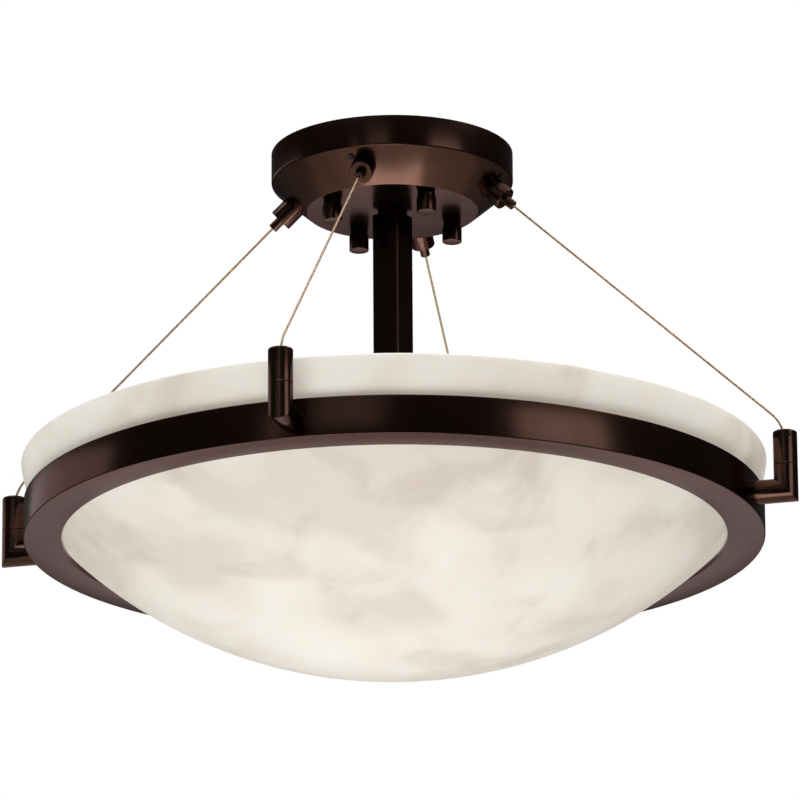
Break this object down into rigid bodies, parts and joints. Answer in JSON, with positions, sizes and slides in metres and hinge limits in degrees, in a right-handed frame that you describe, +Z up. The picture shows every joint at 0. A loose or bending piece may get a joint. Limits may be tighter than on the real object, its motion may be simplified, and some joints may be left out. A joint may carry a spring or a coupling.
{
  "type": "semi flush ceiling light",
  "caption": "Stone bowl in a dark bronze ring, hung below a round canopy by a square stem and taut cables with screwed posts and grips.",
  "frame": {"origin": "centre of the ceiling box screw pattern, on the ceiling plane", "axes": "+Z up into the ceiling, -Y towards the front post, +X towards the right post"},
  "size_m": [0.5462, 0.5462, 0.3551],
  "materials": {
    "dark_bronze": "satin dark bronze finish on drawn steel and turned brass",
    "alabaster": "honed warm ivory stone with soft grey-beige clouds",
    "steel_cable": "twisted wire rope, toned bronze",
    "zinc_plate": "clear zinc plate",
    "black_screw": "black oxide",
    "ferrule_metal": "crimped, bare",
    "lead_insulation": "smooth insulation",
    "connector_plastic": "ribbed plastic",
    "green_screw": "green-dyed zinc plate",
    "gasket_felt": "pressed felt strip",
    "porcelain": "glazed white",
    "bulb_metal": "rolled thin metal",
    "bulb_glass": "frosted"
  },
  "bodies": {
    "fixture": {"bowl_gasket": "gasket_felt", "bowl_ring": "dark_bronze", "cable_back": "steel_cable", "cable_ferrules": "ferrule_metal", "cable_front": "steel_cable", "cable_left": "steel_cable", "cable_right": "steel_cable", "cable_tails": "steel_cable", "canopy_pan": "dark_bronze", "canopy_studs": "zinc_plate", "cap_set_screws": "black_screw", "ceiling_plate": "zinc_plate", "elbow_screws": "black_screw", "grip_body_back": "dark_bronze", "grip_body_front": "dark_bronze", "grip_body_left": "dark_bronze", "grip_body_right": "dark_bronze", "grip_nuts": "zinc_plate", "grip_screws": "black_screw", "grip_washers": "zinc_plate", "ground_screw": "green_screw", "lamp_hub_cup": "dark_bronze", "lamp_hub_finial": "dark_bronze", "lamp_hub_lid": "dark_bronze", "lamp_socket_front": "porcelain", "lamp_socket_left": "porcelain", "lamp_socket_right": "porcelain", "post_cap_back": "dark_bronze", "post_cap_front": "dark_bronze", "post_cap_left": "dark_bronze", "post_cap_right": "dark_bronze", "post_elbow_back": "dark_bronze", "post_elbow_front": "dark_bronze", "post_elbow_left": "dark_bronze", "post_elbow_right": "dark_bronze", "socket_nuts": "zinc_plate", "stem_collar": "dark_bronze", "stem_nipples": "zinc_plate", "stem_nuts": "zinc_plate", "stem_plugs": "zinc_plate", "stem_tube": "dark_bronze", "stem_washer": "zinc_plate", "stud_nuts": "zinc_plate", "supply_leads": "lead_insulation", "wire_connectors": "connector_plastic"},
    "bowl": {"bowl": "alabaster"},
    "thumb_nut_front_right": {"thumb_nut_front_right": "dark_bronze"},
    "thumb_nut_back_right": {"thumb_nut_back_right": "dark_bronze"},
    "thumb_nut_back_left": {"thumb_nut_back_left": "dark_bronze"},
    "thumb_nut_front_left": {"thumb_nut_front_left": "dark_bronze"},
    "bulb_front": {"bulb_base_front": "bulb_metal", "bulb_glass_front": "bulb_glass"},
    "bulb_right": {"bulb_base_right": "bulb_metal", "bulb_glass_right": "bulb_glass"},
    "bulb_left": {"bulb_base_left": "bulb_metal", "bulb_glass_left": "bulb_glass"},
    "grip_nose_front": {"grip_nose_front": "dark_bronze"},
    "grip_nose_right": {"grip_nose_right": "dark_bronze"},
    "grip_nose_back": {"grip_nose_back": "dark_bronze"},
    "grip_nose_left": {"grip_nose_left": "dark_bronze"}
  },
  "joints": [
    {"name": "bowl_lift", "type": "slide", "parent": "fixture", "child": "bowl", "axis": [0, 0, 1], "range_m": [0, 0.02]},
    {"name": "thumb_nut_front_right_turn", "type": "hinge", "parent": "fixture", "child": "thumb_nut_front_right", "pos_m": [0.03253, -0.03253, -0.0405], "axis": [0, 0, 1], "continuous": true},
    {"name": "thumb_nut_back_right_turn", "type": "hinge", "parent": "fixture", "child": "thumb_nut_back_right", "pos_m": [0.03253, 0.03253, -0.0405], "axis": [0, 0, 1], "continuous": true},
    {"name": "thumb_nut_back_left_turn", "type": "hinge", "parent": "fixture", "child": "thumb_nut_back_left", "pos_m": [-0.03253, 0.03253, -0.0405], "axis": [0, 0, 1], "continuous": true},
    {"name": "thumb_nut_front_left_turn", "type": "hinge", "parent": "fixture", "child": "thumb_nut_front_left", "pos_m": [-0.03253, -0.03253, -0.0405], "axis": [0, 0, 1], "continuous": true},
    {"name": "bulb_front_turn", "type": "hinge", "parent": "fixture", "child": "bulb_front", "pos_m": [0, -0.075, -0.2518], "axis": [0, -1, 0], "continuous": true},
    {"name": "bulb_right_turn", "type": "hinge", "parent": "fixture", "child": "bulb_right", "pos_m": [0.06495, 0.0375, -0.2518], "axis": [0.866, 0.5, 0], "continuous": true},
    {"name": "bulb_left_turn", "type": "hinge", "parent": "fixture", "child": "bulb_left", "pos_m": [-0.06495, 0.0375, -0.2518], "axis": [-0.866, 0.5, 0], "continuous": true},
    {"name": "grip_nose_front_press", "type": "slide", "parent": "fixture", "child": "grip_nose_front", "axis": [0, 0.7314, 0.6819], "range_m": [0, 0.0025], "stiffness_N_per_m": 400, "springref_m": -0.003},
    {"name": "grip_nose_right_press", "type": "slide", "parent": "fixture", "child": "grip_nose_right", "axis": [-0.7314, 0, 0.6819], "range_m": [0, 0.0025], "stiffness_N_per_m": 400, "springref_m": -0.003},
    {"name": "grip_nose_back_press", "type": "slide", "parent": "fixture", "child": "grip_nose_back", "axis": [0, -0.7314, 0.6819], "range_m": [0, 0.0025], "stiffness_N_per_m": 400, "springref_m": -0.003},
    {"name": "grip_nose_left_press", "type": "slide", "parent": "fixture", "child": "grip_nose_left", "axis": [0.7314, 0, 0.6819], "range_m": [0, 0.0025], "stiffness_N_per_m": 400, "springref_m": -0.003}
  ]
}
